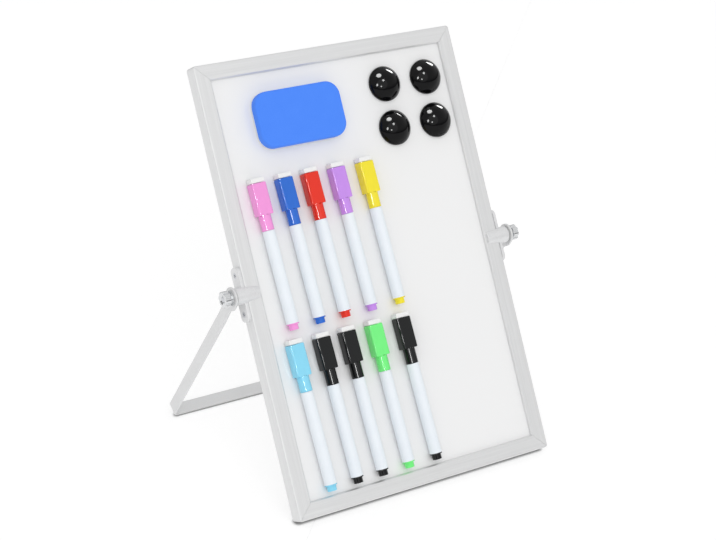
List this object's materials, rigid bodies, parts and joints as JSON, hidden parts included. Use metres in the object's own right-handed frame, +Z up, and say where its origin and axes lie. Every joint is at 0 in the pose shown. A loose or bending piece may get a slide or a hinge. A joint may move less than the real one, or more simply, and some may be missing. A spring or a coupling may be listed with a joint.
{
  "type": "desktop whiteboard easel",
  "caption": "Leaning framed whiteboard on a folding U-shaped strap stand, with thumb knobs at its pivots and capped markers, an eraser and round magnets on its face.",
  "frame": {"origin": "on the desk, under the middle of the object's bounding box", "axes": "+X to the right of someone facing the board, +Y away from them towards the stand, +Z up"},
  "size_m": [0.236, 0.183, 0.2552],
  "materials": {
    "frame_aluminium": "satin anodised",
    "white_lacquer": "gloss white lacquer on steel sheet",
    "fibreboard": "raw fibreboard",
    "grey_nylon": "moulded",
    "silver_plastic": "silver moulded plastic",
    "plated_steel": "zinc plated",
    "chrome": "bright chrome",
    "silver_paint": "satin silver paint on steel strap",
    "blue_foam": "closed-cell EVA foam",
    "white_felt": "pressed felt",
    "ferrite": "sintered ferrite",
    "black_gloss": "polished",
    "white_plastic": "polished",
    "pink_plastic": "polished",
    "blue_plastic": "polished",
    "red_plastic": "polished",
    "purple_plastic": "polished",
    "yellow_plastic": "polished",
    "sky_plastic": "polished",
    "black_plastic": "polished",
    "green_plastic": "polished"
  },
  "bodies": {
    "board": {"frame_left": "frame_aluminium", "frame_right": "frame_aluminium", "frame_top": "frame_aluminium", "frame_bottom": "frame_aluminium", "corner_keys": "grey_nylon", "front_sheet": "white_lacquer", "core_panel": "fibreboard", "back_sheet": "white_lacquer", "pivot_clip_left": "silver_plastic", "pivot_clip_right": "silver_plastic", "clip_screws": "plated_steel", "pivot_bolt_left": "plated_steel", "pivot_bolt_right": "plated_steel", "friction_washers": "grey_nylon"},
    "stand": {"u_stand": "silver_paint"},
    "left_knob": {"thumb_knob_left": "chrome"},
    "right_knob": {"thumb_knob_right": "chrome"},
    "eraser": {"eraser_foam": "blue_foam", "eraser_felt": "white_felt", "eraser_magnet": "ferrite"},
    "magnet_1": {"button_magnet_1": "black_gloss", "magnet_disc_1": "ferrite"},
    "magnet_2": {"button_magnet_2": "black_gloss", "magnet_disc_2": "ferrite"},
    "magnet_3": {"button_magnet_3": "black_gloss", "magnet_disc_3": "ferrite"},
    "magnet_4": {"button_magnet_4": "black_gloss", "magnet_disc_4": "ferrite"},
    "pink_marker": {"pink_barrel": "white_plastic", "pink_plug": "pink_plastic"},
    "pink_marker_cap": {"pink_cap": "pink_plastic"},
    "blue_marker": {"blue_barrel": "white_plastic", "blue_plug": "blue_plastic"},
    "blue_marker_cap": {"blue_cap": "blue_plastic"},
    "red_marker": {"red_barrel": "white_plastic", "red_plug": "red_plastic"},
    "red_marker_cap": {"red_cap": "red_plastic"},
    "purple_marker": {"purple_barrel": "white_plastic", "purple_plug": "purple_plastic"},
    "purple_marker_cap": {"purple_cap": "purple_plastic"},
    "yellow_marker": {"yellow_barrel": "white_plastic", "yellow_plug": "yellow_plastic"},
    "yellow_marker_cap": {"yellow_cap": "yellow_plastic"},
    "sky_marker": {"sky_barrel": "white_plastic", "sky_plug": "sky_plastic"},
    "sky_marker_cap": {"sky_cap": "sky_plastic"},
    "black_1_marker": {"black_1_barrel": "white_plastic", "black_1_plug": "black_plastic"},
    "black_1_marker_cap": {"black_1_cap": "black_plastic"},
    "black_2_marker": {"black_2_barrel": "white_plastic", "black_2_plug": "black_plastic"},
    "black_2_marker_cap": {"black_2_cap": "black_plastic"},
    "green_marker": {"green_barrel": "white_plastic", "green_plug": "green_plastic"},
    "green_marker_cap": {"green_cap": "green_plastic"},
    "black_3_marker": {"black_3_barrel": "white_plastic", "black_3_plug": "black_plastic"},
    "black_3_marker_cap": {"black_3_cap": "black_plastic"}
  },
  "joints": [
    {"name": "stand_tilt", "type": "hinge", "parent": "board", "child": "stand", "pos_m": [0, -0.00205, 0.12904], "axis": [1, 0, 0], "range_deg": [-56.5, 112.5]},
    {"name": "left_knob_turn", "type": "hinge", "parent": "board", "child": "left_knob", "pos_m": [-0.1117, -0.00205, 0.12904], "axis": [-1, 0, 0], "range_deg": [0, 360]},
    {"name": "right_knob_turn", "type": "hinge", "parent": "board", "child": "right_knob", "pos_m": [0.1117, -0.00205, 0.12904], "axis": [1, 0, 0], "range_deg": [0, 360]},
    {"name": "eraser_lift", "type": "slide", "parent": "board", "child": "eraser", "axis": [0, -0.8192, 0.5736], "range_m": [0, 0.06]},
    {"name": "magnet_1_lift", "type": "slide", "parent": "board", "child": "magnet_1", "axis": [0, -0.8192, 0.5736], "range_m": [0, 0.06]},
    {"name": "magnet_2_lift", "type": "slide", "parent": "board", "child": "magnet_2", "axis": [0, -0.8192, 0.5736], "range_m": [0, 0.06]},
    {"name": "magnet_3_lift", "type": "slide", "parent": "board", "child": "magnet_3", "axis": [0, -0.8192, 0.5736], "range_m": [0, 0.06]},
    {"name": "magnet_4_lift", "type": "slide", "parent": "board", "child": "magnet_4", "axis": [0, -0.8192, 0.5736], "range_m": [0, 0.06]},
    {"name": "pink_lift", "type": "slide", "parent": "board", "child": "pink_marker", "axis": [0, -0.8192, 0.5736], "range_m": [0, 0.06]},
    {"name": "pink_cap_pull", "type": "slide", "parent": "pink_marker", "child": "pink_marker_cap", "axis": [-0.0262, 0.5734, 0.8189], "range_m": [0, 0.015]},
    {"name": "blue_lift", "type": "slide", "parent": "board", "child": "blue_marker", "axis": [0, -0.8192, 0.5736], "range_m": [0, 0.06]},
    {"name": "blue_cap_pull", "type": "slide", "parent": "blue_marker", "child": "blue_marker_cap", "axis": [-0.0262, 0.5734, 0.8189], "range_m": [0, 0.015]},
    {"name": "red_lift", "type": "slide", "parent": "board", "child": "red_marker", "axis": [0, -0.8192, 0.5736], "range_m": [0, 0.06]},
    {"name": "red_cap_pull", "type": "slide", "parent": "red_marker", "child": "red_marker_cap", "axis": [-0.0262, 0.5734, 0.8189], "range_m": [0, 0.015]},
    {"name": "purple_lift", "type": "slide", "parent": "board", "child": "purple_marker", "axis": [0, -0.8192, 0.5736], "range_m": [0, 0.06]},
    {"name": "purple_cap_pull", "type": "slide", "parent": "purple_marker", "child": "purple_marker_cap", "axis": [-0.0262, 0.5734, 0.8189], "range_m": [0, 0.015]},
    {"name": "yellow_lift", "type": "slide", "parent": "board", "child": "yellow_marker", "axis": [0, -0.8192, 0.5736], "range_m": [0, 0.06]},
    {"name": "yellow_cap_pull", "type": "slide", "parent": "yellow_marker", "child": "yellow_marker_cap", "axis": [-0.0262, 0.5734, 0.8189], "range_m": [0, 0.015]},
    {"name": "sky_lift", "type": "slide", "parent": "board", "child": "sky_marker", "axis": [0, -0.8192, 0.5736], "range_m": [0, 0.06]},
    {"name": "sky_cap_pull", "type": "slide", "parent": "sky_marker", "child": "sky_marker_cap", "axis": [-0.0262, 0.5734, 0.8189], "range_m": [0, 0.005]},
    {"name": "black_1_lift", "type": "slide", "parent": "board", "child": "black_1_marker", "axis": [0, -0.8192, 0.5736], "range_m": [0, 0.06]},
    {"name": "black_1_cap_pull", "type": "slide", "parent": "black_1_marker", "child": "black_1_marker_cap", "axis": [-0.0262, 0.5734, 0.8189], "range_m": [0, 0.005]},
    {"name": "black_2_lift", "type": "slide", "parent": "board", "child": "black_2_marker", "axis": [0, -0.8192, 0.5736], "range_m": [0, 0.06]},
    {"name": "black_2_cap_pull", "type": "slide", "parent": "black_2_marker", "child": "black_2_marker_cap", "axis": [-0.0262, 0.5734, 0.8189], "range_m": [0, 0.005]},
    {"name": "green_lift", "type": "slide", "parent": "board", "child": "green_marker", "axis": [0, -0.8192, 0.5736], "range_m": [0, 0.06]},
    {"name": "green_cap_pull", "type": "slide", "parent": "green_marker", "child": "green_marker_cap", "axis": [-0.0262, 0.5734, 0.8189], "range_m": [0, 0.005]},
    {"name": "black_3_lift", "type": "slide", "parent": "board", "child": "black_3_marker", "axis": [0, -0.8192, 0.5736], "range_m": [0, 0.06]},
    {"name": "black_3_cap_pull", "type": "slide", "parent": "black_3_marker", "child": "black_3_marker_cap", "axis": [-0.0262, 0.5734, 0.8189], "range_m": [0, 0.005]}
  ]
}
